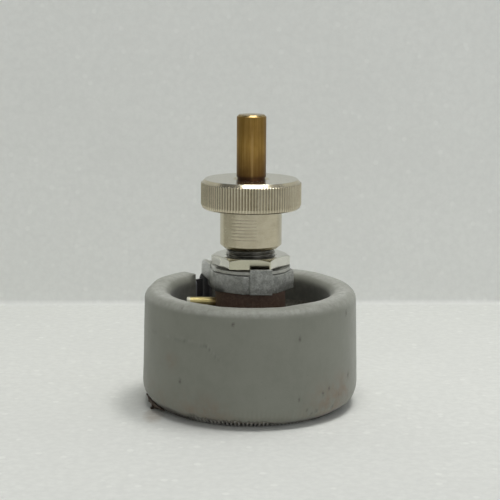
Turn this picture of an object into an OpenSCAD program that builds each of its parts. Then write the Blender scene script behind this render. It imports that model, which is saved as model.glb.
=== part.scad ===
// Open-ring wirewound potentiometer with a locking bush.
// Millimetres, +Z up along the shaft, origin on the shaft axis at the
// underside of the resistance ring. Angles run from +X, anticlockwise.

/* [Ring] */
// Outside diameter of the cement coat near its foot
ring_d = 44.4; // [44:0.1:45]
// Outside diameter of the cement coat just under its rim
ring_top_d = 43.5; // [43:0.1:44]
// Clear diameter inside the cement coat
ring_bore_d = 32.8; // [32.6:0.1:32.9]
// Height of the ring
ring_h = 24; // [23.6:0.1:24.1]
// Angle where the left end of the ring starts, seen from above
gap_left = 135; // [134:0.1:138]
// Angle where the right end of the ring stops, seen from above
gap_right = 119.8; // [119:0.1:121.8]
// Height at which the coat stops on the outside, above the foot
coat_foot = 1.6; // [1.4:0.1:2.2]

/* [Hub] */
// Height of the underside of the insulating base disc
disc_z = 14; // [14:0.1:14.2]
// Thickness of the base disc
disc_t = 3; // [2.8:0.1:3.2]
// Outside diameter of the insulating spacer tube
spacer_d = 14.4; // [14:0.1:14.8]
// Height of the underside of the mounting casting
cast_z = 24.2; // [24:0.1:24.4]
// Height of the seat on top of the casting
seat_z = 27.9; // [27.7:0.1:28]
// Width across the flats of the casting
cast_af = 16.6; // [16.6:0.1:16.8]
// Outside diameter of the bush thread
bush_d = 10; // [9.9:0.05:10]

/* [Panel hardware] */
// Width across the flats of the panel nut
nut_af = 14; // [13.6:0.1:14]
// Thickness of the panel nut
nut_t = 2.2; // [2:0.1:2.3]
// Thickness of the panel washer
washer_t = 0.85; // [0.75:0.05:0.9]
// Diameter of the panel washer
washer_d = 16.2; // [16.2:0.1:16.6]

/* [Lock nut] */
// Diameter of the knurled head
knurl_d = 20.44; // [19.8:0.02:21]
// Diameter of the plain sleeve
sleeve_d = 12.6; // [12.4:0.1:13]
// Height of the underside of the sleeve
sleeve_z = 32.35; // [32.2:0.05:32.6]
// Height of the underside of the knurled head
knurl_z = 40.4; // [39.8:0.1:40.6]
// Height of the top of the knurled head
knurl_top = 46.5; // [46.3:0.1:46.6]

/* [Shaft] */
// Diameter of the free end of the shaft
shaft_d = 6; // [6:0.01:6.02]
// Height of the tip of the shaft
shaft_top = 59.5; // [56:0.5:64]

/* [Rotor] */
// Angle of the brush at mid travel
rest_angle = 305; // [303:1:307]
// Angle of the stop post
stop_angle = 125; // [124:1:126]
// Height of the brush above the foot
brush_z = 8; // [7.9:0.1:8.1]

/* [Hidden] */
$fn = 96;

ring_r = ring_d / 2;
ring_tr = ring_top_d / 2;
bore_r = ring_bore_d / 2;
gap_deg = gap_left - gap_right;
// Winding: inner track radius, outer radius, top height, wire build
track_r = bore_r + 0.5;
wind_r = ring_r - 0.9;
wind_top = ring_h - 1.2;
wire_t = 0.5;
// The coat covers the inner wall down to this height, the track is bare below
coat_in_z = disc_z - 0.5;
ins_t = 0.6;
tag_t = 0.5;
disc_r = bore_r - 0.05;
disc_top = disc_z + disc_t;
bush_r = bush_d / 2;
bush_top = 42.9;
spacer_r = spacer_d / 2;
pin_z = 20.9;
pin_r = 0.9;
post_x = -9;
journal_r = shaft_d / 2 - 0.2;
tail_r = 2.5;
step_z = 18;
free_z = knurl_top + 0.4;
hub_z0 = 4.7;
hub_z1 = 11.5;
hub_r = 6.2;
arm_len = 10;
arm_half = 2.8;
nut_z = seat_z + washer_t + 0.09;
nut_rc = nut_af / 2 / cos(30);

function arc(cx, cz, a, b, t0, t1, n) =
    [for (i = [0:n]) let (t = t0 + (t1 - t0) * i / n)
        [cx + a * cos(t), cz + b * sin(t)]];

// Half section of a ring: rounded foot, slight draft, rounded rim
function ring_section(ri, rb, rt, z0, z1, ib, oa, ob, ot, it) = concat(
    arc(ri + ib, z0 + ib, ib, ib, 180, 270, 4),
    arc(rb - oa, z0 + ob, oa, ob, 270, 360, 10),
    arc(rt - ot, z1 - ot, ot, ot, 0, 90, 8),
    arc(ri + it, z1 - it, it, it, 90, 180, 8));

function coat_pts() =
    ring_section(bore_r, ring_r, ring_tr, 0, ring_h, 0.5, 4, 5, 2, 1.7);
function wind_pts() =
    ring_section(track_r, wind_r, wind_r, 0, wind_top, 0.5, 3.1, 4.4, 1.2, 1.2);
function core_pts() =
    ring_section(track_r + wire_t, wind_r - wire_t, wind_r - wire_t, wire_t,
        wind_top - wire_t, 0.3, 2.6, 3.9, 0.8, 0.8);

// Sweep a half section round the open ring
module open_ring() {
    rotate([0, 0, gap_left]) rotate_extrude(angle = 360 - gap_deg) children();
}

// Put a flat plate on each end face of the ring, standing off by d
module on_ends(t, d) {
    rotate([0, 0, gap_left]) translate([0, -d, 0]) rotate([90, 0, 0])
        linear_extrude(t) children();
    rotate([0, 0, gap_right]) translate([0, d + t, 0]) rotate([90, 0, 0])
        linear_extrude(t) children();
}

module tube(ro, ri, z0, z1) {
    difference() {
        translate([0, 0, z0]) cylinder(r = ro, h = z1 - z0);
        translate([0, 0, z0 - 1]) cylinder(r = ri, h = z1 - z0 + 2);
    }
}

module polar(r, a) { rotate([0, 0, a]) translate([r, 0, 0]) children(); }

// ---- resistance ring ----

module cement_coat() color([0.42, 0.42, 0.39])
    open_ring() difference() {
        polygon(coat_pts());
        polygon(wind_pts());
        translate([0, -1]) square([track_r + 0.7, coat_in_z + 1]);
        translate([0, -1]) square([40, coat_foot + 1]);
    }

module resistance_winding() color([0.30, 0.28, 0.26])
    open_ring() difference() {
        polygon(wind_pts());
        polygon(core_pts());
    }

module ceramic_core() color([0.86, 0.83, 0.76])
    open_ring() polygon(core_pts());

module end_insulators() color([0.10, 0.10, 0.10])
    on_ends(ins_t, 0) difference() {
        polygon(ring_section(bore_r + 0.4, ring_tr - 0.3, ring_tr - 0.3, 0.8,
            ring_h - 0.6, 0.5, 3, 4, 1.6, 1.6));
        translate([19.3, 8]) circle(r = 0.72, $fn = 32);
    }

module end_terminals() color([0.80, 0.68, 0.36])
    on_ends(tag_t, ins_t) difference() {
        union() {
            translate([17.6, 5]) square([3.6, 6]);
            translate([21, 6.6]) square([2.6, 2.8]);
            translate([23.4, 8]) circle(r = 1.4, $fn = 48);
        }
        translate([23.4, 8]) circle(r = 0.75, $fn = 32);
        translate([19.3, 8]) circle(r = 0.72, $fn = 32);
    }

module terminal_rivets() color([0.75, 0.62, 0.32]) {
    on_ends(ins_t + tag_t, 0) translate([19.3, 8]) circle(r = 0.7, $fn = 32);
    on_ends(0.4, ins_t + tag_t) translate([19.3, 8]) circle(r = 1.1, $fn = 32);
}

module winding_tail() color([0.16, 0.12, 0.10])
    polar(20.4, 202) translate([0, 0, 0.75]) rotate([0, 90, 0])
        cylinder(r = 0.35, h = 1.7, $fn = 24);

// ---- hub ----

module base_disc() color([0.22, 0.13, 0.10])
    difference() {
        translate([0, 0, disc_z]) cylinder(r = disc_r, h = disc_t);
        translate([0, 0, disc_z - 1]) cylinder(r = bush_r + 0.05, h = disc_t + 2);
        translate([post_x, 0, disc_z - 1]) cylinder(r = 0.82, h = disc_t + 2, $fn = 32);
        polar(9, stop_angle) translate([0, 0, disc_z - 1])
            cylinder(r = 0.82, h = 3, $fn = 32);
        for (a = [225, 305, 25]) polar(9, a) translate([0, 0, disc_z - 1])
            cylinder(r = 0.62, h = disc_t + 2, $fn = 32);
    }

module cement_bead() color([0.45, 0.44, 0.40])
    open_ring() polygon([
        [disc_r - 1.5, disc_top + 0.02], [disc_r, disc_top + 0.02],
        [disc_r, disc_top + 1.5], [disc_r - 0.45, disc_top + 0.75],
        [disc_r - 0.85, disc_top + 0.35]]);

module hub_spacer() color([0.24, 0.13, 0.10])
    difference() {
        tube(spacer_r, bush_r + 0.05, disc_top + 0.02, cast_z - 0.02);
        translate([-spacer_r - 1, 0, pin_z]) rotate([0, 90, 0])
            cylinder(r = pin_r + 0.02, h = spacer_r - bush_r + 1.2, $fn = 48);
    }

module mounting_casting() color([0.50, 0.50, 0.47])
    difference() {
        union() {
            translate([0, 0, cast_z]) rotate([0, 0, -8.5])
                cylinder(r = cast_af / 2 / cos(22.5), h = seat_z - cast_z, $fn = 8);
            // front locating rib
            translate([-0.2, -9.25, cast_z]) cube([4.6, 3, seat_z - cast_z]);
            translate([-0.2, -9.25, seat_z - 0.5]) cube([4.6, 0.75, 2]);
            // side locating lug on a sloping gusset
            translate([0, 2.2, 0]) rotate([90, 0, 0]) linear_extrude(2.8) polygon(concat(
                [[-7, cast_z], [-7, seat_z], [-8.5, seat_z]],
                arc(-9.3, seat_z + 0.75, 0.8, 0.8, 0, 180, 10),
                [[-10.1, seat_z - 1.1], [-7.2, cast_z]]));
        }
        translate([0, 0, cast_z - 1]) cylinder(r = bush_r + 0.02, h = 8);
    }

// Threaded bush: stepped bore for the shaft, clamping flange at its foot
module threaded_bush() color([0.55, 0.54, 0.50])
    rotate_extrude() polygon([
        [tail_r + 0.03, disc_z - 1.2], [6.5, disc_z - 1.2], [6.5, disc_z - 0.02],
        [bush_r, disc_z - 0.02], [bush_r, bush_top - 0.5], [bush_r - 0.5, bush_top],
        [journal_r + 0.03, bush_top], [journal_r + 0.03, step_z - 0.1],
        [tail_r + 0.03, step_z - 0.1]]);

module slip_ring() color([0.80, 0.66, 0.34])
    difference() {
        rotate([0, 0, 150]) rotate_extrude(angle = 310)
            translate([8, disc_z - 0.8]) square([2, 0.78]);
        for (a = [225, 305, 25]) polar(9, a) translate([0, 0, disc_z - 2])
            cylinder(r = 0.62, h = 4, $fn = 32);
    }

module slip_ring_rivets() color([0.75, 0.62, 0.32])
    for (a = [225, 305, 25]) polar(9, a) {
        translate([0, 0, disc_z - 0.7]) cylinder(r = 0.6, h = disc_t + 0.7, $fn = 32);
        translate([0, 0, disc_top]) cylinder(r = 1.1, h = 0.45, $fn = 32);
    }

module wiper_terminal() color([0.82, 0.70, 0.34])
    translate([-13.1, 0, pin_z]) rotate([0, 90, 0]) rotate_extrude() polygon([
        [0, 0], [pin_r - 0.3, 0], [pin_r, 0.3], [pin_r, 7.7], [0, 7.7]]);

module terminal_post() color([0.74, 0.60, 0.30])
    translate([post_x, 0, disc_z]) cylinder(r = 0.8, h = pin_z - pin_r - disc_z - 0.02, $fn = 48);

module stop_post() color([0.60, 0.58, 0.52])
    polar(9, stop_angle) {
        translate([0, 0, disc_z - 5]) cylinder(r = 1.2, h = 4.98, $fn = 48);
        translate([0, 0, disc_z - 0.5]) cylinder(r = 0.8, h = 2.4, $fn = 32);
    }

// ---- rotor ----

module shaft() color([0.62, 0.48, 0.22])
    difference() {
        rotate_extrude() polygon([
            [0, 3], [tail_r - 0.3, 3], [tail_r, 3.3], [tail_r, 4], [2, 4], [2, 4.65],
            [tail_r, 4.65], [tail_r, step_z], [journal_r, step_z], [journal_r, free_z],
            [shaft_d / 2, free_z], [shaft_d / 2, shaft_top - 0.4],
            [shaft_d / 2 - 0.4, shaft_top], [0, shaft_top]]);
        rotate([0, 0, rest_angle]) translate([0, 5, brush_z]) rotate([90, 0, 0])
            cylinder(r = 0.62, h = 10, $fn = 32);
    }

module rotor_hub() color([0.20, 0.12, 0.09])
    rotate([0, 0, rest_angle]) difference() {
        union() {
            translate([0, 0, hub_z0]) cylinder(r = hub_r, h = hub_z1 - hub_z0);
            translate([0, -arm_half, hub_z0]) cube([arm_len, 2 * arm_half, hub_z1 - hub_z0]);
        }
        translate([0, 0, 0]) cylinder(r = tail_r + 0.02, h = 20);
        translate([4.2, 0, brush_z]) rotate([0, 90, 0]) cylinder(r = 2.02, h = 10);
        translate([0, 8, brush_z]) rotate([90, 0, 0]) cylinder(r = 0.62, h = 16, $fn = 32);
        for (s = [-1.5, 1.5]) translate([7, s, 10.2]) cylinder(r = 0.62, h = 3, $fn = 32);
    }

module hub_pin() color([0.66, 0.66, 0.64])
    rotate([0, 0, rest_angle]) translate([0, 5.8, brush_z]) rotate([90, 0, 0])
        cylinder(r = 0.6, h = 11.6, $fn = 32);

module brush_holder() color([0.78, 0.64, 0.32])
    rotate([0, 0, rest_angle]) difference() {
        translate([4.25, 0, brush_z]) rotate([0, 90, 0]) cylinder(r = 2, h = 10.4);
        translate([4.75, 0, brush_z]) rotate([0, 90, 0]) cylinder(r = 1.55, h = 12);
    }

// Closed length of the brush spring, drawn as the sleeve that its turns fill
module brush_spring() color([0.62, 0.62, 0.60])
    rotate([0, 0, rest_angle]) difference() {
        translate([4.8, 0, brush_z]) rotate([0, 90, 0]) cylinder(r = 1.45, h = 5.6);
        translate([4, 0, brush_z]) rotate([0, 90, 0]) cylinder(r = 1.05, h = 8);
    }

module carbon_brush() color([0.13, 0.13, 0.14])
    intersection() {
        rotate([0, 0, rest_angle]) translate([10.45, 0, brush_z]) rotate([0, 90, 0])
            cylinder(r = 1.5, h = 10);
        cylinder(r = track_r - 0.1, h = 30, $fn = 128);
    }

module collector_finger() color([0.80, 0.64, 0.30])
    rotate([0, 0, rest_angle]) difference() {
        union() {
            translate([6, -2.4, hub_z1]) cube([2.5, 4.8, 0.25]);
            translate([8.4, 0, 0]) rotate([90, 0, 90]) linear_extrude(1.4) polygon([
                [-2.4, hub_z1], [2.4, hub_z1], [2.4, hub_z1 + 0.25],
                [-1.7, hub_z1 + 0.25], [0.9, hub_z1 + 1.2], [1.7, hub_z1 + 0.95],
                [1.85, hub_z1 + 1.15], [0.9, hub_z1 + 1.5], [-2.4, hub_z1 + 0.3]]);
        }
        for (s = [-1.5, 1.5]) translate([7, s, 9]) cylinder(r = 0.62, h = 5, $fn = 32);
    }

module finger_screws() color([0.70, 0.70, 0.66])
    rotate([0, 0, rest_angle]) for (s = [-1.5, 1.5]) translate([7, s, 0]) difference() {
        union() {
            translate([0, 0, 10.3]) cylinder(r = 0.6, h = 1.5, $fn = 32);
            translate([0, 0, hub_z1 + 0.25]) cylinder(r = 0.95, h = 0.55, $fn = 32);
        }
        translate([-1.5, -0.15, hub_z1 + 0.55]) cube([3, 0.3, 1]);
    }

module spring_washer() color([0.58, 0.58, 0.56])
    rotate_extrude() polygon([
        [tail_r + 0.15, hub_z1 + 0.4], [4.9, hub_z1 + 0.03],
        [4.9, hub_z1 + 0.33], [tail_r + 0.15, hub_z1 + 0.7]]);

module thrust_washer() color([0.66, 0.58, 0.40])
    tube(5.4, tail_r + 0.1, disc_z - 1.74, disc_z - 1.3);

module retaining_clip() color([0.35, 0.35, 0.36])
    difference() {
        tube(4.6, 2.05, 4.05, 4.6);
        rotate([0, 0, 35]) translate([0, -1.6, 3]) cube([8, 3.2, 3]);
    }

// ---- locking and panel hardware ----

module collet_ring() color([0.74, 0.62, 0.34])
    difference() {
        rotate_extrude() polygon([
            [journal_r + 0.07, bush_top + 0.1], [4.6, bush_top + 0.1],
            [4.6, bush_top + 0.7], [3.5, bush_top + 1.8],
            [journal_r + 0.07, bush_top + 1.8]]);
        translate([0, -0.35, bush_top - 1]) cube([8, 0.7, 5]);
    }

// Knurled head with a long sleeve; the cone inside closes the collet
module lock_nut() color([0.66, 0.64, 0.56])
    rotate_extrude($fn = 160) polygon([
        [bush_r + 0.03, sleeve_z], [sleeve_d / 2 - 0.9, sleeve_z],
        [sleeve_d / 2, sleeve_z + 0.8], [sleeve_d / 2, knurl_z],
        [knurl_d / 2 - 0.47, knurl_z], [knurl_d / 2, knurl_z + 0.45],
        [knurl_d / 2, knurl_top - 0.5], [knurl_d / 2 - 0.5, knurl_top],
        [shaft_d / 2 + 0.7, knurl_top], [shaft_d / 2 + 0.3, knurl_top - 0.4],
        [shaft_d / 2 + 0.3, bush_top + 2.1], [bush_r + 0.03, bush_top + 0.5]]);

module panel_washer() color([0.62, 0.62, 0.58])
    tube(washer_d / 2, bush_r + 0.06, seat_z + 0.05, seat_z + 0.05 + washer_t);

module panel_nut() color([0.80, 0.80, 0.76])
    difference() {
        intersection() {
            translate([0, 0, nut_z]) rotate([0, 0, -1.3])
                cylinder(r = nut_rc, h = nut_t, $fn = 6);
            rotate_extrude() polygon([
                [0, nut_z], [nut_af / 2 + 0.2, nut_z],
                [nut_rc + 0.1, nut_z + 0.5], [nut_rc + 0.1, nut_z + nut_t - 0.5],
                [nut_af / 2 + 0.2, nut_z + nut_t], [0, nut_z + nut_t]]);
        }
        translate([0, 0, nut_z - 1]) cylinder(r = bush_r + 0.03, h = nut_t + 2);
    }

cement_coat();
resistance_winding();
ceramic_core();
end_insulators();
end_terminals();
terminal_rivets();
winding_tail();
base_disc();
cement_bead();
hub_spacer();
mounting_casting();
threaded_bush();
slip_ring();
slip_ring_rivets();
wiper_terminal();
terminal_post();
stop_post();
shaft();
rotor_hub();
hub_pin();
brush_holder();
brush_spring();
carbon_brush();
collector_finger();
finger_screws();
spring_washer();
thrust_washer();
retaining_clip();
collet_ring();
lock_nut();
panel_washer();
panel_nut();
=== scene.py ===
import math

import bmesh
import bpy
import numpy as np
from mathutils import Matrix, Quaternion, Vector


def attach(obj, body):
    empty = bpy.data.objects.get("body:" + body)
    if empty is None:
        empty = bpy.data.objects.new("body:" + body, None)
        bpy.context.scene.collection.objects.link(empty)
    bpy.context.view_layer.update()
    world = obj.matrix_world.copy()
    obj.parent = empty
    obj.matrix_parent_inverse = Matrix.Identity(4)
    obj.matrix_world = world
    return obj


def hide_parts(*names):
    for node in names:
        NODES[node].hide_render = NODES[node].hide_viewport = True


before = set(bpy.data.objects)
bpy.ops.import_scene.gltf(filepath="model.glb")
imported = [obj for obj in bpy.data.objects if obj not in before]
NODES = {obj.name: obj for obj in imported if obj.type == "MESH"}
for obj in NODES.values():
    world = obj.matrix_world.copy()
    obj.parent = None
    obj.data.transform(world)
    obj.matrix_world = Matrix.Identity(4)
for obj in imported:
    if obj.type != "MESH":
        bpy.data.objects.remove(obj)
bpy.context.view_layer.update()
MM = 0.001
TAU = 2 * math.pi
scene = bpy.context.scene


# ---------------------------------------------------------------- numbers
def vnoise(p, seed=0):
    """Smooth value noise in [-1, 1] on an (..., 3) array."""
    p = np.asarray(p, float)
    i = np.floor(p).astype(np.int64)
    f = p - i
    u = f * f * f * (f * (f * 6 - 15) + 10)

    def h(dx, dy, dz):
        n = ((i[..., 0] + dx) * 374761393 + (i[..., 1] + dy) * 668265263
             + (i[..., 2] + dz) * 1440662683 + seed * 1274126177) & 0xFFFFFFFF
        n = ((n ^ (n >> 13)) * 1274126177) & 0xFFFFFFFF
        n = ((n ^ (n >> 15)) * 2246822519) & 0xFFFFFFFF
        return ((n ^ (n >> 16)) & 0xFFFFFF) / 8388607.5 - 1.0

    def mix(a, b, t):
        return a + (b - a) * t

    x0 = mix(mix(h(0, 0, 0), h(1, 0, 0), u[..., 0]), mix(h(0, 1, 0), h(1, 1, 0), u[..., 0]), u[..., 1])
    x1 = mix(mix(h(0, 0, 1), h(1, 0, 1), u[..., 0]), mix(h(0, 1, 1), h(1, 1, 1), u[..., 0]), u[..., 1])
    return mix(x0, x1, u[..., 2])


def fbm(p, octaves=3, seed=0):
    p = np.asarray(p, float)
    out, amp, tot = 0.0, 1.0, 0.0
    for k in range(octaves):
        out = out + amp * vnoise(p * 2.03 ** k + 17.3 * k, seed + k)
        tot += amp
        amp *= 0.5
    return out / tot


def smooth(a, b, x):
    t = np.clip((x - a) / (b - a), 0, 1)
    return t * t * (3 - 2 * t)


def arc(cx, cz, a, b, t0, t1, n):
    return [(cx + a * math.cos(math.radians(t0 + (t1 - t0) * i / n)),
             cz + b * math.sin(math.radians(t0 + (t1 - t0) * i / n))) for i in range(n + 1)]


def fillet(pts, seg=4):
    """Rounds the corners of a closed outline of (x, z, radius), with a support point each side of every round."""
    out, n = [], len(pts)
    for i in range(n):
        p = np.array(pts[i][:2], float)
        r = pts[i][2] if len(pts[i]) > 2 else 0
        if r <= 0:
            out.append(tuple(p))
            continue
        a = np.array(pts[i - 1][:2], float) - p
        b = np.array(pts[(i + 1) % n][:2], float) - p
        la, lb = np.linalg.norm(a), np.linalg.norm(b)
        ua, ub = a / la, b / lb
        half = math.acos(float(np.clip(ua @ ub, -1, 1))) / 2
        d = min(r / math.tan(half), 0.45 * la, 0.45 * lb)
        rr = d * math.tan(half)
        c = p + (ua + ub) / np.linalg.norm(ua + ub) * (rr / math.sin(half))
        s, e = p + ua * d, p + ub * d
        v0, v1 = s - c, e - c
        om = math.acos(float(np.clip(v0 @ v1 / rr / rr, -1, 1)))
        out.append(tuple(s + ua * min(0.35 * rr, 0.2 * (la - d))))
        for k in range(seg + 1):
            t = k / seg
            v = (math.sin((1 - t) * om) * v0 + math.sin(t * om) * v1) / math.sin(om)
            out.append(tuple(c + v))
        out.append(tuple(e + ub * min(0.35 * rr, 0.2 * (lb - d))))
    return out


def resample(pts, n):
    """n points evenly spaced along an open line."""
    pts = np.asarray(pts, float)
    s = np.r_[0, np.cumsum(np.linalg.norm(np.diff(pts, axis=0), axis=1))]
    t = np.linspace(0, s[-1], n)
    return np.stack([np.interp(t, s, pts[:, k]) for k in range(pts.shape[1])], -1)


def ring_section(ri, rb, rt, z0, z1, ib, oa, ob, ot, it, k=1):
    ia, ih = it if isinstance(it, tuple) else (it, it)
    return (arc(ri + ib, z0 + ib, ib, ib, 180, 270, 4 * k) + arc(rb - oa, z0 + ob, oa, ob, 270, 360, 10 * k)
            + arc(rt - ot, z1 - ot, ot, ot, 0, 90, 8 * k) + arc(ri + ia, z1 - ih, ia, ih, 90, 180, 8 * k))


# ---------------------------------------------------------------- meshes
def grid_faces(nu, nv, wu, wv):
    iu = np.arange(nu if wu else nu - 1)
    iv = np.arange(nv if wv else nv - 1)
    a, b = np.meshgrid(iu, iv, indexing="ij")
    a2, b2 = (a + 1) % nu, (b + 1) % nv
    return np.stack([a * nv + b, a2 * nv + b, a2 * nv + b2, a * nv + b2], -1).reshape(-1, 4).tolist()


def tidy(me, dist=2e-7):
    """Merges points that coincide and drops what that leaves without a face."""
    bm = bmesh.new()
    bm.from_mesh(me)
    bmesh.ops.remove_doubles(bm, verts=bm.verts, dist=dist)
    bmesh.ops.delete(bm, geom=[e for e in bm.edges if not e.link_faces], context="EDGES")
    bmesh.ops.delete(bm, geom=[v for v in bm.verts if not v.link_faces], context="VERTS")
    bm.to_mesh(me)
    bm.free()


def finish_mesh(name, me, angle):
    me.shade_smooth()
    me.set_sharp_from_angle(angle=math.radians(angle))
    ob = bpy.data.objects.new(name, me)
    scene.collection.objects.link(ob)
    return ob


def mesh_obj(name, verts, faces, angle=34.0, merge=False, turn=None):
    me = bpy.data.meshes.new(name)
    v = np.asarray(verts, float) * MM
    me.from_pydata([tuple(x) for x in v.tolist()], [], faces)
    if turn is not None:
        me.transform(turn)
    if merge:
        tidy(me)
    me.update()
    return finish_mesh(name, me, angle)


def polar_grid(R, Z, A):
    """Points of a swept section: R and Z are (angles, points), A the angles in radians."""
    A = np.asarray(A)[:, None]
    return np.stack([R * np.cos(A), R * np.sin(A), Z + 0 * A], -1).reshape(-1, 3)


def ccw(pts):
    p = np.asarray(pts, float)
    q = np.roll(p, -1, 0)
    return p if np.sum(p[:, 0] * q[:, 1] - q[:, 0] * p[:, 1]) > 0 else p[::-1]


def revolve(name, pts, n=128, span=None, angle=34.0, shape=None, turn=None):
    """Sweeps a closed outline of (r, z) round Z. span = (from, to) in degrees leaves it open, with end faces."""
    p = ccw(pts)
    m = len(p)
    if span is None:
        A = np.arange(n) / n * TAU
    else:
        A = np.radians(np.linspace(span[0], span[1], n))
    R, Z = np.repeat(p[None, :, 0], n, 0), np.repeat(p[None, :, 1], n, 0)
    if shape is not None:
        R, Z = shape(R, Z, A[:, None])
    faces = grid_faces(n, m, span is None, True)
    if span is not None:
        faces.append(list(range(m)))
        faces.append([(n - 1) * m + j for j in range(m)][::-1])
    return mesh_obj(name, polar_grid(R, Z, A), faces, angle, merge=bool(np.any(p[:, 0] < 1e-6)), turn=turn)


def sweep(name, paths, radius, sides=8, angle=50.0, ups=None):
    """Round wires along open lines of points, with closed ends."""
    V, F, base = [], [], 0
    for q, path in enumerate(paths):
        P = np.asarray(path, float)
        n = len(P)
        T = np.gradient(P, axis=0)
        T /= np.linalg.norm(T, axis=1)[:, None]
        if ups is not None:
            N = np.asarray(ups[q], float)
            N = N - np.sum(N * T, 1)[:, None] * T
        else:
            N = np.zeros_like(P)
            up = np.array([0.0, 0.0, 1.0]) if abs(T[0][2]) < 0.9 else np.array([1.0, 0.0, 0.0])
            for i in range(n):
                up = up - (up @ T[i]) * T[i]
                up /= np.linalg.norm(up)
                N[i] = up
        N /= np.linalg.norm(N, axis=1)[:, None]
        B = np.cross(T, N)
        rad = np.broadcast_to(np.asarray(radius[q] if isinstance(radius, list) else radius, float), (n,))
        a = np.arange(sides) / sides * TAU
        ring = P[:, None] + rad[:, None, None] * (np.cos(a)[None, :, None] * N[:, None] + np.sin(a)[None, :, None] * B[:, None])
        V.append(ring.reshape(-1, 3))
        F += [[base + x for x in f] for f in grid_faces(n, sides, False, True)]
        F.append([base + j for j in range(sides)])
        F.append([base + (n - 1) * sides + j for j in range(sides)][::-1])
        base += n * sides
    ob = mesh_obj(name, np.concatenate(V), F, angle)
    bm = bmesh.new()
    bm.from_mesh(ob.data)
    bmesh.ops.recalc_face_normals(bm, faces=bm.faces)
    bm.to_mesh(ob.data)
    bm.free()
    return ob


def soft_copy(node, name, width=0.08, seg=2, limit=28, angle=34):
    """A copy of a CAD node with its coplanar triangles joined and its edges broken."""
    bm = bmesh.new()
    bm.from_mesh(NODES[node].data)
    bmesh.ops.remove_doubles(bm, verts=bm.verts, dist=1e-6)
    bmesh.ops.dissolve_limit(bm, angle_limit=math.radians(0.8), verts=bm.verts, edges=bm.edges)
    edges = [e for e in bm.edges if len(e.link_faces) == 2 and e.calc_face_angle(0) > math.radians(limit)]
    if width > 0:
        bmesh.ops.bevel(bm, geom=edges, offset=width * MM, offset_type="OFFSET", segments=seg, profile=0.5,
                        affect="EDGES", clamp_overlap=True)
    me = bpy.data.meshes.new(name)
    bm.to_mesh(me)
    bm.free()
    ob = finish_mesh(name, me, angle)
    w = ob.modifiers.new("even", "WEIGHTED_NORMAL")
    w.keep_sharp = True
    return ob


def attribute(ob, name, values):
    at = ob.data.attributes.new(name, "FLOAT", "POINT")
    at.data.foreach_set("value", np.asarray(values, np.float32).ravel())


def done(ob, body, slot, material, *nodes):
    ob.data.materials.clear()
    ob.data.materials.append(material)
    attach(ob, body)
    if nodes:
        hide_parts(*nodes)
    return ob


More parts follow.
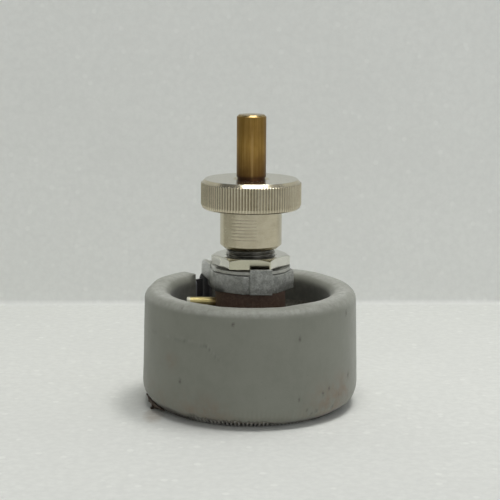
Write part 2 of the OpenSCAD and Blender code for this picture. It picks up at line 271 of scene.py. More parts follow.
# ---------------------------------------------------------------- materials
class Mat:
    """A node material whose patterns are in millimetres of the part's own frame."""

    def __init__(self, name, rough=0.5, metal=0.0, spec=0.5):
        self.m = bpy.data.materials.new(name)
        self.m.use_nodes = True
        self.t = self.m.node_tree
        self.b = self.t.nodes["Principled BSDF"]
        self.b.inputs["Roughness"].default_value = rough
        self.b.inputs["Metallic"].default_value = metal
        self.b.inputs["Specular IOR Level"].default_value = spec
        tc = self.t.nodes.new("ShaderNodeTexCoord")
        sc = self.t.nodes.new("ShaderNodeVectorMath")
        sc.operation = "SCALE"
        sc.inputs["Scale"].default_value = 1000.0
        self.t.links.new(tc.outputs["Object"], sc.inputs[0])
        self.co = sc.outputs["Vector"]
        self._xyz = None

    def put(self, value, socket):
        if isinstance(value, bpy.types.NodeSocket):
            self.t.links.new(value, socket)
        else:
            if isinstance(value, (tuple, list)) and len(value) == 3 and len(socket.default_value) == 4:
                value = (*value, 1.0)
            socket.default_value = value

    def set(self, name, value):
        self.put(value, self.b.inputs[name])
        return self

    def xyz(self):
        if self._xyz is None:
            n = self.t.nodes.new("ShaderNodeSeparateXYZ")
            self.t.links.new(self.co, n.inputs[0])
            self._xyz = n.outputs
        return self._xyz

    def scaled(self, sx, sy, sz, vec=None):
        n = self.t.nodes.new("ShaderNodeVectorMath")
        n.operation = "MULTIPLY"
        self.put(vec or self.co, n.inputs[0])
        n.inputs[1].default_value = (sx, sy, sz)
        return n.outputs["Vector"]

    def noise(self, scale, detail=3.0, rough=0.5, dist=0.0, vec=None):
        n = self.t.nodes.new("ShaderNodeTexNoise")
        n.inputs["Scale"].default_value = scale
        n.inputs["Detail"].default_value = detail
        n.inputs["Roughness"].default_value = rough
        n.inputs["Distortion"].default_value = dist
        self.put(vec or self.co, n.inputs["Vector"])
        return n.outputs["Fac"]

    def voronoi(self, scale, feature="F1", vec=None, rand=1.0):
        n = self.t.nodes.new("ShaderNodeTexVoronoi")
        n.feature = feature
        n.inputs["Scale"].default_value = scale
        n.inputs["Randomness"].default_value = rand
        self.put(vec or self.co, n.inputs["Vector"])
        return n.outputs["Distance"]

    def math(self, op, a, b=0.0, c=0.0, clamp=False):
        n = self.t.nodes.new("ShaderNodeMath")
        n.operation = op
        n.use_clamp = clamp
        for v, s in zip((a, b, c), n.inputs):
            self.put(v, s)
        return n.outputs[0]

    def ramp(self, fac, lo, hi, a=0.0, b=1.0, kind="SMOOTHSTEP"):
        n = self.t.nodes.new("ShaderNodeMapRange")
        n.interpolation_type = kind
        for k, v in (("Value", fac), ("From Min", lo), ("From Max", hi), ("To Min", a), ("To Max", b)):
            self.put(v, n.inputs[k])
        return n.outputs["Result"]

    def mix(self, fac, a, b, blend="MIX"):
        n = self.t.nodes.new("ShaderNodeMix")
        n.data_type = "RGBA"
        n.blend_type = blend
        self.put(fac, n.inputs[0])
        self.put(a, n.inputs[6])
        self.put(b, n.inputs[7])
        return n.outputs[2]

    def attr(self, name):
        n = self.t.nodes.new("ShaderNodeAttribute")
        n.attribute_name = name
        return n.outputs["Fac"]

    def bump(self, height, strength=0.5, dist_mm=0.05, normal=None):
        n = self.t.nodes.new("ShaderNodeBump")
        n.inputs["Strength"].default_value = strength
        n.inputs["Distance"].default_value = dist_mm * MM
        self.put(height, n.inputs["Height"])
        if normal is not None:
            self.put(normal, n.inputs["Normal"])
        self.t.links.new(n.outputs["Normal"], self.b.inputs["Normal"])
        return n.outputs["Normal"]

    def polar(self):
        """(radius, angle in radians) about Z."""
        x, y, z = self.xyz()
        r = self.math("SQRT", self.math("ADD", self.math("MULTIPLY", x, x), self.math("MULTIPLY", y, y)))
        return r, self.math("ARCTAN2", y, x)


def make_cement():
    k = Mat("cement_grey", rough=0.62, spec=0.5)
    k.b.inputs["Sheen Weight"].default_value = 0.24
    k.b.inputs["Sheen Roughness"].default_value = 0.45
    x, y, z = k.xyz()
    big = k.noise(0.16, 4, 0.55)
    mid = k.noise(0.7, 5, 0.6, vec=k.scaled(1, 1, 0.8))
    fine = k.noise(5.5, 4, 0.62)
    grain = k.noise(16.0, 2, 0.6)
    col = k.mix(k.ramp(big, 0.3, 0.7), (0.200, 0.205, 0.168), (0.224, 0.229, 0.190))
    col = k.mix(k.ramp(mid, 0.35, 0.7, 0.0, 0.55), col, (0.238, 0.243, 0.204))
    col = k.mix(k.ramp(fine, 0.52, 0.72, 0.0, 0.30), col, (0.156, 0.158, 0.133))
    # brown dirt where the coat ends and where it was handled
    patch = k.ramp(k.noise(0.42, 6, 0.65), 0.34, 0.66)
    col = k.mix(k.math("MULTIPLY", k.attr("stain"), patch, clamp=True), col, (0.215, 0.165, 0.120))
    # pits and dark specks
    tiny = k.math("MULTIPLY", k.ramp(k.voronoi(0.9), 0.05, 0.12, 1.0, 0.0), k.ramp(k.noise(0.33, 2), 0.54, 0.64))
    spots = k.math("MULTIPLY", k.attr("speck"), k.ramp(k.noise(2.6, 3, 0.6), 0.30, 0.52))
    dots = k.math("ADD", spots, k.math("MULTIPLY", tiny, 0.45), clamp=True)
    col = k.mix(k.math("MULTIPLY", dots, 0.80), col, (0.075, 0.062, 0.050))
    # pale scuffs on the rim, partly wear and partly a painted highlight where the rim top catches the lamp
    worn = k.math("MULTIPLY", k.attr("edge"), k.ramp(k.noise(0.9, 6, 0.65), 0.05, 0.95))
    col = k.mix(k.math("MULTIPLY", worn, 0.75), col, (0.50, 0.505, 0.465))
    # a crease line in the coat: painted shade below, painted highlight above
    col = k.mix(k.math("MULTIPLY", k.attr("painted_crease_shade"), 0.70), col, (0.115, 0.115, 0.098))
    col = k.mix(k.math("MULTIPLY", k.attr("painted_ridge_highlight"), 0.25), col, (0.36, 0.365, 0.325))
    # dark band along the coat's lower edge: brown grime towards the left, painted contact shade where it meets the
    # floor on the right; the inside wall below the rim is darker
    col = k.mix(k.attr("grime_and_contact_shade"), col, k.mix(k.ramp(fine, 0.35, 0.65), (0.020, 0.015, 0.011), (0.052, 0.040, 0.029)))
    col = k.mix(k.attr("deep"), col, k.mix(k.ramp(mid, 0.35, 0.7), (0.115, 0.116, 0.098), (0.165, 0.166, 0.142)))
    k.set("Base Color", col)
    k.set("Roughness", k.ramp(mid, 0.3, 0.7, 0.52, 0.70))
    h = k.math("ADD", k.math("MULTIPLY", fine, 0.6), k.math("MULTIPLY", grain, 0.25))
    h = k.math("SUBTRACT", h, k.math("MULTIPLY", dots, 0.9))
    k.bump(h, 0.32, 0.09)
    return k.m


def make_metal(name, base, dark, rough=(0.2, 0.35), streak=None, spots=0.25, bump=0.12, grain=6.0, light=None, dirt_and_shade=None, cling=0.55, top=None, painted_light_tone=None, front=None):
    """Plated or bare metal: patchy tone, fine directional marks, darker rougher spots, and optional painted light and
    shade.
    """
    k = Mat(name, rough=rough[0], metal=1.0)
    patch = k.noise(0.5, 5, 0.6)
    col = k.mix(k.ramp(patch, 0.32, 0.72), base, dark)
    if light is not None:
        col = k.mix(k.ramp(k.noise(1.7, 4, 0.6), 0.55, 0.75, 0, 0.6), col, light)
    spot = k.ramp(k.noise(2.8, 5, 0.68), 0.56, 0.72)
    col = k.mix(k.math("MULTIPLY", spot, spots), col, tuple(0.45 * c for c in dark))
    # painted reflection: the top face takes its own paler, greyer colour
    if top is not None:
        col = k.mix(k.ramp(k.xyz()[2], top[0], top[1], 0.0, 0.85), col, top[2])
    # painted reflection: the flats that face forward are painted darker and yellower
    if front is not None:
        col = k.mix(k.ramp(k.xyz()[1], front[0], front[1], 0.0, 0.85), col, front[2])
    # darkening from a per-point attribute: grime and tool marks, and painted shade and painted reflection under and
    # between parts
    if dirt_and_shade is not None:
        col = k.mix(k.math("MULTIPLY", k.attr("dirt_and_shade"), cling), col, dirt_and_shade)
    # painted light: a pale, less metallic patch where the part's attribute is set
    if painted_light_tone is not None:
        worn = k.attr("painted_light_tone")
        col = k.mix(k.math("MULTIPLY", worn, 0.9), col, painted_light_tone)
        k.set("Metallic", k.ramp(worn, 0.0, 1.0, 1.0, 0.12))
    k.set("Base Color", col)
    if streak == "turned":
        r, a = k.polar()
        z = k.xyz()[2]
        n = k.t.nodes.new("ShaderNodeCombineXYZ")
        k.put(k.math("MULTIPLY", r, 9.0), n.inputs[0])
        k.put(k.math("MULTIPLY", a, 0.5), n.inputs[1])
        k.put(k.math("MULTIPLY", z, 9.0), n.inputs[2])
        marks = k.noise(1.0, 4, 0.7, vec=n.outputs[0])
    elif streak == "drawn":
        marks = k.noise(4.0, 4, 0.65, vec=k.scaled(1, 1, 0.03))
    elif streak == "rolled":
        marks = k.noise(6.0, 4, 0.65, vec=k.scaled(0.06, 1, 1))
    else:
        marks = k.noise(grain, 5, 0.6)
    k.set("Roughness", k.math("ADD", k.ramp(marks, 0.25, 0.75, rough[0], rough[1]), k.math("MULTIPLY", spot, 0.15), clamp=True))
    k.bump(marks, bump, 0.03)
    return k.m


def make_shaft():
    k = Mat("shaft_brass", rough=0.4, metal=1.0)
    x, y, z = k.xyz()
    draw = k.noise(3.0, 5, 0.62, vec=k.scaled(1, 1, 0.022))
    patch = k.noise(0.42, 5, 0.6, vec=k.scaled(1, 1, 0.55))
    col = k.mix(k.ramp(draw, 0.3, 0.7), (0.285, 0.163, 0.037), (0.50, 0.315, 0.094))
    col = k.mix(k.ramp(patch, 0.40, 0.74, 0, 0.5), col, (0.25, 0.142, 0.032))
    # tarnish towards the tip; painted shade down the right of the front; darker towards the foot
    col = k.mix(k.ramp(z, 52.5, 57.5, 0.0, 0.42), col, (0.165, 0.096, 0.026))
    col = k.mix(k.math("MULTIPLY", k.ramp(x, 0.5, 2.2, 0.0, 0.34), k.ramp(y, 0.5, -0.5)), col, (0.165, 0.098, 0.028))
    foot = k.math("ADD", k.ramp(z, 54.0, 46.8), k.math("MULTIPLY", k.math("SUBTRACT", k.noise(0.8, 4), 0.5), 0.4), clamp=True)
    col = k.mix(k.math("MULTIPLY", foot, 0.74), col, (0.105, 0.050, 0.018))
    col = k.mix(k.math("MULTIPLY", k.ramp(k.noise(3.0, 4, 0.7), 0.6, 0.74), 0.4), col, (0.12, 0.07, 0.025))
    # a painted highlight streak down the front of the shaft
    line = k.math("MULTIPLY", k.ramp(k.math("ABSOLUTE", k.math("SUBTRACT", x, 0.17)), 0.36, 0.12), k.ramp(y, -1.0, -2.0))
    col = k.mix(k.math("MULTIPLY", line, k.ramp(z, 57.5, 54.0, 0.0, 0.42)), col, (0.50, 0.33, 0.13))
    # painted shade at the very foot, where the shaft goes into the nut
    col = k.mix(k.ramp(z, 47.6, 46.8, 0, 0.85), col, (0.06, 0.03, 0.02))
    tip = k.ramp(z, 59.10, 59.3)
    col = k.mix(k.math("MULTIPLY", tip, 0.75), col, (0.40, 0.31, 0.15))
    k.set("Base Color", col)
    k.set("Roughness", k.math("SUBTRACT", k.ramp(draw, 0.25, 0.75, 0.36, 0.54), k.math("MULTIPLY", tip, 0.17)))
    k.bump(draw, 0.30, 0.03)
    return k.m


def make_casting():
    k = Mat("cast_alloy", rough=0.5, metal=0.45)
    x, y, z = k.xyz()
    lump = k.noise(0.85, 5, 0.62)
    fine = k.noise(3.6, 5, 0.68)
    col = k.mix(k.ramp(lump, 0.32, 0.68), (0.29, 0.295, 0.272), (0.50, 0.505, 0.475))
    col = k.mix(k.ramp(fine, 0.42, 0.70, 0, 0.5), col, (0.18, 0.185, 0.17))
    col = k.mix(k.ramp(z, 26.2, 24.3, 0.0, 0.45), col, (0.13, 0.125, 0.105))
    bright = k.ramp(k.noise(2.0, 6, 0.7), 0.54, 0.66)
    col = k.mix(k.math("MULTIPLY", bright, 0.45), col, (0.70, 0.71, 0.68))
    # painted light: the casting is painted lighter towards the left
    col = k.mix(k.ramp(x, 1.0, -6.0, 0.0, 0.16), col, (0.80, 0.80, 0.76))
    # the lug was rubbed bright by the panel, and is also painted near white and less metallic as painted light, lifting
    # it and its web out of the nut's shade
    lug = k.math("MULTIPLY", k.ramp(x, -7.5, -7.95), k.ramp(z, 26.0, 27.8))
    col = k.mix(k.math("MULTIPLY", lug, 0.94), col, k.mix(k.ramp(fine, 0.35, 0.65), (0.96, 0.965, 0.92), (0.80, 0.81, 0.76)))
    col = k.mix(k.math("MULTIPLY", k.ramp(x, -4.5, -7.2, 0.0, 0.75), k.ramp(z, 26.6, 24.6)), col, (0.10, 0.098, 0.086))
    col = k.mix(k.math("MULTIPLY", k.ramp(x, 4.2, 6.4, 0.0, 0.55), k.ramp(z, 26.8, 24.8)), col, (0.09, 0.088, 0.078))
    low = k.math("ADD", k.ramp(k.math("ADD", z, x), 17.3, 16.5), k.ramp(z, 25.2, 24.5), clamp=True)
    col = k.mix(k.math("MULTIPLY", low, k.ramp(x, -4.6, -5.8, 0.0, 0.82)), col, (0.045, 0.044, 0.038))
    k.set("Base Color", col)
    k.set("Metallic", k.ramp(lug, 0.0, 1.0, 0.45, 0.10))
    k.set("Roughness", k.ramp(fine, 0.3, 0.7, 0.34, 0.60))
    k.bump(k.math("ADD", fine, k.math("MULTIPLY", lump, 0.8)), 0.45, 0.10)
    return k.m


def make_phenolic(name, base, light, rough, dusty=0.25):
    k = Mat(name, rough=rough, spec=0.35)
    fleck = k.noise(1.9, 5, 0.65)
    fibre = k.noise(3.0, 4, 0.6, vec=k.scaled(1, 0.25, 1))
    col = k.mix(k.ramp(fleck, 0.35, 0.72), base, light)
    col = k.mix(k.ramp(fibre, 0.56, 0.74, 0, 0.4), col, tuple(1.7 * c for c in light))
    dust = k.ramp(k.noise(0.8, 6, 0.7), 0.52, 0.74, 0, dusty)
    col = k.mix(dust, col, (0.19, 0.17, 0.145))
    k.set("Base Color", col)
    k.set("Roughness", k.ramp(fleck, 0.3, 0.7, rough - 0.1, rough + 0.15))
    k.bump(k.math("ADD", fleck, fibre), 0.2, 0.04)
    return k.m


def make_wire(name, base, dark, bare, foot_grime_and_shade=None):
    k = Mat(name, rough=0.42, metal=0.55)
    r, a = k.polar()
    z = k.xyz()[2]
    n = k.noise(1.3, 5, 0.65)
    col = k.mix(k.ramp(n, 0.32, 0.68), dark, base)
    col = k.mix(k.ramp(k.noise(4.0, 4, 0.6), 0.5, 0.72, 0, 0.6), col, tuple(0.5 * c for c in dark))
    track = k.math("MULTIPLY", k.ramp(r, 17.25, 17.05), k.math("MULTIPLY", k.ramp(z, 6.2, 6.7), k.ramp(z, 9.8, 9.3)))
    col = k.mix(track, col, bare)
    # the wire near the foot, away from the bare front stretch, is darkened: grime on the left and painted contact shade
    # where the ring meets the floor
    if foot_grime_and_shade is not None:
        beside = k.math("ADD", k.ramp(a, math.radians(-120), math.radians(-127)), k.ramp(a, math.radians(-82), math.radians(-75)), clamp=True)
        less = k.math("MULTIPLY", k.ramp(a, math.radians(-84), math.radians(-78)), k.ramp(a, math.radians(-46), math.radians(-58)))
        col = k.mix(k.math("MULTIPLY", beside, k.math("MULTIPLY", k.ramp(z, 2.7, 2.2), k.ramp(less, 0.0, 1.0, 0.60, 0.08))), col, foot_grime_and_shade)
    k.set("Base Color", col)
    k.set("Roughness", k.math("SUBTRACT", k.ramp(n, 0.3, 0.7, 0.36, 0.58), k.math("MULTIPLY", track, 0.16)))
    k.bump(k.noise(7.0, 3, 0.6), 0.2, 0.03)
    return k.m


def make_pin():
    k = Mat("pin_brass", rough=0.3, metal=0.75)
    x, y, z = k.xyz()
    tone = k.noise(1.1, 5, 0.65)
    col = k.mix(k.ramp(tone, 0.35, 0.7), (1.0, 0.86, 0.40), (0.94, 0.76, 0.30))
    # painted shade: the top of the pin is painted darker
    col = k.mix(k.ramp(z, 21.05, 21.5, 0.0, 0.24), col, (0.40, 0.33, 0.13))
    brown = k.ramp(x, -8.9, -7.4, 0.0, 0.75)
    col = k.mix(brown, col, (0.30, 0.18, 0.06))
    tin = k.math("ADD", k.ramp(x, -12.2, -12.55), k.math("MULTIPLY", k.math("SUBTRACT", tone, 0.5), 0.8), clamp=True)
    col = k.mix(tin, col, (1.0, 0.97, 0.80))
    k.set("Base Color", col)
    k.set("Metallic", k.ramp(tin, 0.0, 1.0, 0.75, 0.45))
    k.set("Roughness", k.math("ADD", k.ramp(tone, 0.3, 0.7, 0.32, 0.48), k.math("MULTIPLY", tin, 0.12)))
    k.bump(k.noise(3.0, 4, 0.6, vec=k.scaled(0.1, 1, 1)), 0.15, 0.03)
    return k.m


def make_dull(name, a, b, rough, spec=0.4, scale=1.5, depth=0.06, pale=None):
    k = Mat(name, rough=rough, spec=spec)
    n = k.noise(scale, 6, 0.65)
    f = k.noise(scale * 6, 4, 0.6)
    col = k.mix(k.ramp(n, 0.3, 0.7), a, b)
    col = k.mix(k.ramp(f, 0.5, 0.75, 0, 0.4), col, tuple(0.5 * c for c in a))
    # painted highlight where the part carries a pale attribute
    if pale is not None:
        col = k.mix(k.attr("pale"), col, pale)
    k.set("Base Color", col)
    k.set("Roughness", k.ramp(n, 0.3, 0.7, max(0.05, rough - 0.1), min(1.0, rough + 0.1)))
    k.bump(k.math("ADD", n, k.math("MULTIPLY", f, 0.5)), 0.3, depth)
    return k.m


CEMENT = make_cement()
BEAD = make_dull("bead_cement", (0.105, 0.100, 0.082), (0.070, 0.065, 0.052), 0.8, 0.2)
CERAMIC = make_dull("core_steatite", (0.62, 0.58, 0.50), (0.50, 0.46, 0.38), 0.6)
FIBRE = make_dull("black_fibre", (0.054, 0.053, 0.054), (0.070, 0.068, 0.069), 0.75, 0.15, pale=(0.21, 0.215, 0.22))
CARBON = make_dull("brush_carbon", (0.018, 0.018, 0.02), (0.035, 0.035, 0.037), 0.42)
DISC = make_phenolic("disc_phenolic", (0.040, 0.036, 0.028), (0.055, 0.048, 0.038), 0.6, 0.03)
SPACER = make_phenolic("spacer_phenolic", (0.130, 0.078, 0.055), (0.190, 0.125, 0.092), 0.45)
HUB = make_phenolic("hub_phenolic", (0.026, 0.013, 0.009), (0.045, 0.024, 0.016), 0.48)
WIRE = make_wire("winding_wire", (0.56, 0.54, 0.50), (0.30, 0.285, 0.26), (0.62, 0.58, 0.50), (0.048, 0.037, 0.028))
TAIL = make_wire("tail_wire", (0.125, 0.092, 0.068), (0.060, 0.044, 0.033), (0.125, 0.092, 0.068))
NICKEL = make_metal("plate_nickel", (0.660, 0.598, 0.452), (0.582, 0.520, 0.386), (0.15, 0.26), "turned", 0.18, 0.12, dirt_and_shade=(0.10, 0.085, 0.055), cling=0.5, top=(46.40, 46.49, (0.66, 0.64, 0.565)))
CHROME = make_metal("plate_bright", (0.695, 0.686, 0.628), (0.632, 0.622, 0.565), (0.07, 0.16), None, 0.12, 0.05, dirt_and_shade=(0.045, 0.038, 0.024), cling=0.84, painted_light_tone=(0.93, 0.92, 0.84), front=(-6.6, -6.85, (0.565, 0.545, 0.405)))
ZINC = make_metal("plate_zinc", (0.46, 0.46, 0.425), (0.35, 0.35, 0.32), (0.25, 0.42), "turned", 0.25, 0.2, dirt_and_shade=(0.045, 0.040, 0.030), cling=0.93, painted_light_tone=(0.90, 0.90, 0.85))
BUSH = make_metal("bush_plate", (0.36, 0.35, 0.32), (0.18, 0.175, 0.155), (0.26, 0.45), None, 0.5, 0.15)
BRASS = make_metal("turned_brass", (0.66, 0.48, 0.18), (0.48, 0.33, 0.11), (0.20, 0.36), "turned", 0.3, 0.15)
STRIP = make_metal("sheet_brass", (0.70, 0.52, 0.20), (0.52, 0.36, 0.12), (0.22, 0.38), "rolled", 0.3, 0.15)
STEEL = make_metal("spring_steel", (0.46, 0.46, 0.45), (0.34, 0.34, 0.33), (0.22, 0.38), None, 0.25, 0.12)
BLUED = make_metal("clip_steel", (0.20, 0.20, 0.21), (0.13, 0.13, 0.135), (0.3, 0.45), None, 0.3, 0.12)
CASTING = make_casting()
SHAFT = make_shaft()
PIN = make_pin()


# ---------------------------------------------------------------- the ring
G0, G1 = 135.0, 479.8
PITCH = 2.32


def cut_line(pts, z_low, n, end=1.0):
    """Arc lengths along a line, and the length at which its first, rising part reaches the height z_low; n is not used.
    """
    s = np.r_[0, np.cumsum(np.linalg.norm(np.diff(pts, axis=0), axis=1))]
    top = int(np.argmax(pts[:, 1]))
    s0 = np.interp(z_low, pts[:top, 1], s[:top])
    return s, s0


def make_coat():
    nphi, nk, nw = 1045, 64, 12
    full = np.array(ring_section(16.4, 22.2, 21.75, 0, 24, 0.5, 4, 5, 2, (2.6, 1.75), 4))
    wind = np.array(ring_section(16.9, 21.3, 21.3, 0, 22.8, 0.5, 3.1, 4.4, 1.2, 1.2, 4))

    def outer(p, z_end):
        i0 = 17
        q = p[i0:]
        q = np.vstack([q, [q[-1][0], z_end]])
        return q

    K, W = outer(full, 13.5), outer(wind, 13.5)
    A = np.linspace(G0, G1, nphi)
    ar = np.radians(A)
    circ = np.stack([np.cos(ar), np.sin(ar)], -1)
    low = 0.95 + 0.22 * fbm(np.c_[circ * 7, 0 * ar], 3, 5)
    deg = A % 360
    bare = smooth(232, 240, deg) * (1 - smooth(277, 285, deg))
    turn = np.cos((A - G0) / PITCH * TAU)
    low = low + 0.9 * np.exp(-((deg - 196) / 11.0) ** 2) + 0.55 * np.exp(-((deg - 220) / 15.0) ** 2)
    low = low + bare * (0.55 + 0.10 * turn + 0.22 * fbm(np.c_[circ * 22, 0 * ar + 3], 2, 9))
    sK = np.r_[0, np.cumsum(np.linalg.norm(np.diff(K, axis=0), axis=1))]
    sW = np.r_[0, np.cumsum(np.linalg.norm(np.diff(W, axis=0), axis=1))]
    tK, tW = int(np.argmax(K[:, 1] > 10)), int(np.argmax(W[:, 1] > 10))
    k0 = np.interp(low, K[:tK + 1, 1], sK[:tK + 1])
    w0 = np.interp(low, W[:tW + 1, 1], sW[:tW + 1])
    u = np.linspace(0, 1, nk)
    u = u - 0.10 * np.sin(TAU * u) / TAU * 0
    SK = k0[:, None] + (sK[-1] - k0)[:, None] * u
    SW = w0[:, None] + (sW[-1] - w0)[:, None] * u
    Kr, Kz = np.interp(SK, sK, K[:, 0]), np.interp(SK, sK, K[:, 1])
    # the coat is built up square over the left end
    Q = outer(np.array(ring_section(16.4, 22.2, 21.75, 0, 24, 0.5, 4, 5, 2, 0.22, 4)), 13.5)
    sQ = np.r_[0, np.cumsum(np.linalg.norm(np.diff(Q, axis=0), axis=1))]
    SQ = np.interp(low, Q[:tK + 1, 1], sQ[:tK + 1])
    SQ = SQ[:, None] + (sQ[-1] - SQ)[:, None] * u
    sq = smooth(7.0, 1.0, A - G0)[:, None]
    Kr, Kz = Kr + (np.interp(SQ, sQ, Q[:, 0]) - Kr) * sq, Kz + (np.interp(SQ, sQ, Q[:, 1]) - Kz) * sq
    Wr, Wz = np.interp(SW, sW, W[:, 0]), np.interp(SW, sW, W[:, 1])
    up = SK - k0[:, None]
    taper = 0.30 + 0.70 * smooth(0, 1.5, up)
    ends = np.minimum(A - G0, G1 - A) * math.pi / 180 * 19.5
    cap = np.clip(ends / np.where(A - G0 < 20, 0.16, 0.7), 0, 1)
    cap = 0.25 + 0.75 * np.sqrt(1 - (1 - cap) ** 2)
    share = taper * cap[:, None]
    R, Z = Wr + (Kr - Wr) * share, Wz + (Kz - Wz) * share
    # unevenness of a coat that was poured and stoved
    P = np.stack([R * np.cos(ar)[:, None], R * np.sin(ar)[:, None], Z], -1)
    dr, dz = np.gradient(R, axis=1), np.gradient(Z, axis=1)
    ln = np.hypot(dr, dz) + 1e-9
    nr, nz = dz / ln, -dr / ln
    d = 0.055 * fbm(P / 7.0, 2, 21) + 0.020 * fbm(P / 1.9, 3, 31) - 0.03
    show = smooth(5.0, 2.0, Z) * (R > 18)
    d = d + 0.030 * show * turn[:, None] * (0.15 + 0.85 * bare[:, None])
    d = d * np.clip(share * 1.1, 0, 1)
    R, Z = R + d * nr, Z + d * nz
    Z = Z - 0.21 * (smooth(240, 254, deg) * smooth(304, 286, deg))[:, None] * smooth(19.7, 18.0, R) * smooth(20.0, 22.5, Z)
    back = np.where(deg < 90, 0.35 * smooth(6, 20, deg) + 0.65 * smooth(28, 50, deg), smooth(171, 158, deg)) * (deg < 180)
    Z = Z + 0.40 * back[:, None] * smooth(17.0, 22.5, Z)
    # inside face, against the winding
    pick = np.linspace(nk - 1, 0, nw).round().astype(int)
    Ri, Zi = Wr[:, pick], Wz[:, pick]
    Rall, Zall = np.concatenate([R, Ri], 1), np.concatenate([Z, Zi], 1)
    m = nk + nw
    faces = grid_faces(nphi, m, False, True)
    faces.append(list(range(m)))
    faces.append([(nphi - 1) * m + j for j in range(m)][::-1])
    ob = mesh_obj("ring_coat", polar_grid(Rall, Zall, ar), faces, 40)
    # where dirt and wear sit, and where light and shade are painted
    out = (Rall > 17.5).astype(float)
    dg = deg[:, None]
    above = Zall - low[:, None]
    spot = lambda a, z, wa, wz: np.exp(-((dg - a) / wa) ** 2 - ((Zall - z) / wz) ** 2)
    stain = 0.35 * smooth(4.0, 0.8, Zall) * out + 0.75 * spot(245, 3.6, 14, 2.6) + 0.85 * spot(225.5, 12.4, 3.6, 1.5) + 0.95 * spot(316, 4.6, 13, 3.6)
    stain = stain + 0.55 * spot(329, 6.6, 6, 3.4) + 0.45 * spot(210, 4.0, 16, 3.0)
    attribute(ob, "stain", np.clip(stain, 0, 1))
    # where the rim is painted paler, partly wear and partly painted highlight: the outer top lip at the front, the
    # inner top edge at the left, right and back
    lip = smooth(22.3, 23.1, Zall) * (1 - 0.55 * smooth(23.4, 23.9, Zall)) * (Rall > 18.2) * 0.98
    side = smooth(16.9, 17.9, Rall) * smooth(22.0, 23.2, Zall) * (1 - 0.62 * smooth(19.6, 21.0, Rall)) * np.where(dg < 180, 1.15, 1.55)
    far = smooth(0.15, 0.6, np.cos(np.radians(dg)) ** 2) + (dg < 180) * (1 - smooth(0.15, 0.6, np.cos(np.radians(dg)) ** 2))
    attribute(ob, "edge", lip + (side - lip) * far)
    # the dark band along the coat's lower edge: brown grime towards the left, widened near 331 degrees as painted
    # contact shade at the floor
    left = np.exp(-((dg - 212) / 24.0) ** 2)
    edgy = 0.15 * fbm(np.c_[circ * 26, 0 * ar + 7], 2, 77)[:, None]
    wide = 0.30 * np.exp(-((dg - 331) / 9.0) ** 2)
    much = 0.80 + 0.08 * left - 0.50 * np.exp(-((dg - 293) / 15.0) ** 2) - 0.18 * np.exp(-((dg - 233) / 10.0) ** 2) + 0.15 * np.exp(-((dg - 331) / 9.0) ** 2)
    attribute(ob, "grime_and_contact_shade", out * np.clip(smooth(0.42 + 0.55 * left + wide, 0.24 + 0.42 * left + wide, above + edgy) * much, 0, 1))
    attribute(ob, "deep", smooth(17.6, 16.6, Rall) * smooth(23.2, 21.7, Zall))
    # path of the painted crease line: painted shade along it, with a painted highlight just above
    line_a, line_z = (205.8, 217, 224.9, 231.3, 237.8, 247.2, 251.5, 255.8), (17.1, 16.75, 16.85, 16.95, 16.75, 16.45, 14.9, 13.5)
    mid = np.interp(deg, line_a, line_z) + 0.10 * vnoise(np.c_[deg * 0.45, 0 * deg, 0 * deg], 55)
    fade = smooth(203, 210, deg) * (1 - smooth(252, 257, deg)) * (0.55 + 0.45 * vnoise(np.c_[deg * 0.31, 0 * deg + 9, 0 * deg], 56))
    off = (Zall - mid[:, None])
    attribute(ob, "painted_crease_shade", np.exp(-(off / 0.13) ** 2) * fade[:, None] * out)
    attribute(ob, "painted_ridge_highlight", np.exp(-((off - 0.34) / 0.16) ** 2) * fade[:, None] * out)
    mark = 0
    for a, z, s in ((231.4, 23.2, 0.22), (331.0, 21.1, 0.34), (333.1, 8.2, 0.36), (296.1, 18.0, 0.26), (231.8, 8.8, 0.30), (261.3, 21.1, 0.26), (314.9, 7.1, 0.24),
                    (310.5, 6.2, 0.26), (318.7, 2.8, 0.26), (306.7, 2.9, 0.28), (304.0, 2.4, 0.22), (295.6, 6.0, 0.20), (323.0, 5.0, 0.2), (300.5, 3.4, 0.2)):
        mark = mark + np.exp(-((dg - a) * 0.385 / s) ** 2 - ((Zall - z) / (1.25 * s)) ** 2)
    attribute(ob, "speck", np.clip(1.6 * mark, 0, 1) * out)
    return ob


def make_winding():
    loop = np.array(ring_section(17.15, 21.05, 21.05, 0.25, 22.55, 0.25, 2.85, 4.15, 0.95, 0.95, 1))
    loop = np.vstack([loop, loop[:1]])
    pts = []
    for a, b in zip(loop[:-1], loop[1:]):
        k = max(1, int(np.linalg.norm(b - a) / 2.6))
        for i in range(k):
            pts.append(a + (b - a) * i / k)
    loop = np.array(pts)
    keep = [0]
    for i in range(1, len(loop)):
        if np.linalg.norm(loop[i] - loop[keep[-1]]) > 0.10:
            keep.append(i)
    loop = loop[keep]
    m = len(loop)
    nxt, prv = np.roll(loop, -1, 0), np.roll(loop, 1, 0)
    t2 = nxt - prv
    t2 /= np.linalg.norm(t2, axis=1)[:, None]
    n2 = np.stack([t2[:, 1], -t2[:, 0]], -1)
    turns = 147
    k = np.arange(turns * m + 1)
    ang = np.radians(G0 + 1.16 + PITCH * k / m)
    jit = 0.035 * vnoise(np.c_[k / m * 1.7, 0 * k, 0 * k], 3)
    ang = ang + jit * math.radians(PITCH)
    r, z = loop[k % m, 0], loop[k % m, 1]
    nr, nz = n2[k % m, 0], n2[k % m, 1]
    c, s = np.cos(ang), np.sin(ang)
    path = np.stack([r * c, r * s, z], -1)
    ups = np.stack([nr * c, nr * s, nz], -1)
    return sweep("winding_turns", [path], 0.245, 7, 60, [ups])


coat = done(make_coat(), "stator", "cement", CEMENT, "cement_coat")
winding = done(make_winding(), "stator", "winding", WIRE, "resistance_winding")

core_pts = ring_section(17.4, 20.8, 20.8, 0.5, 22.3, 0.3, 2.6, 3.9, 0.8, 0.8)


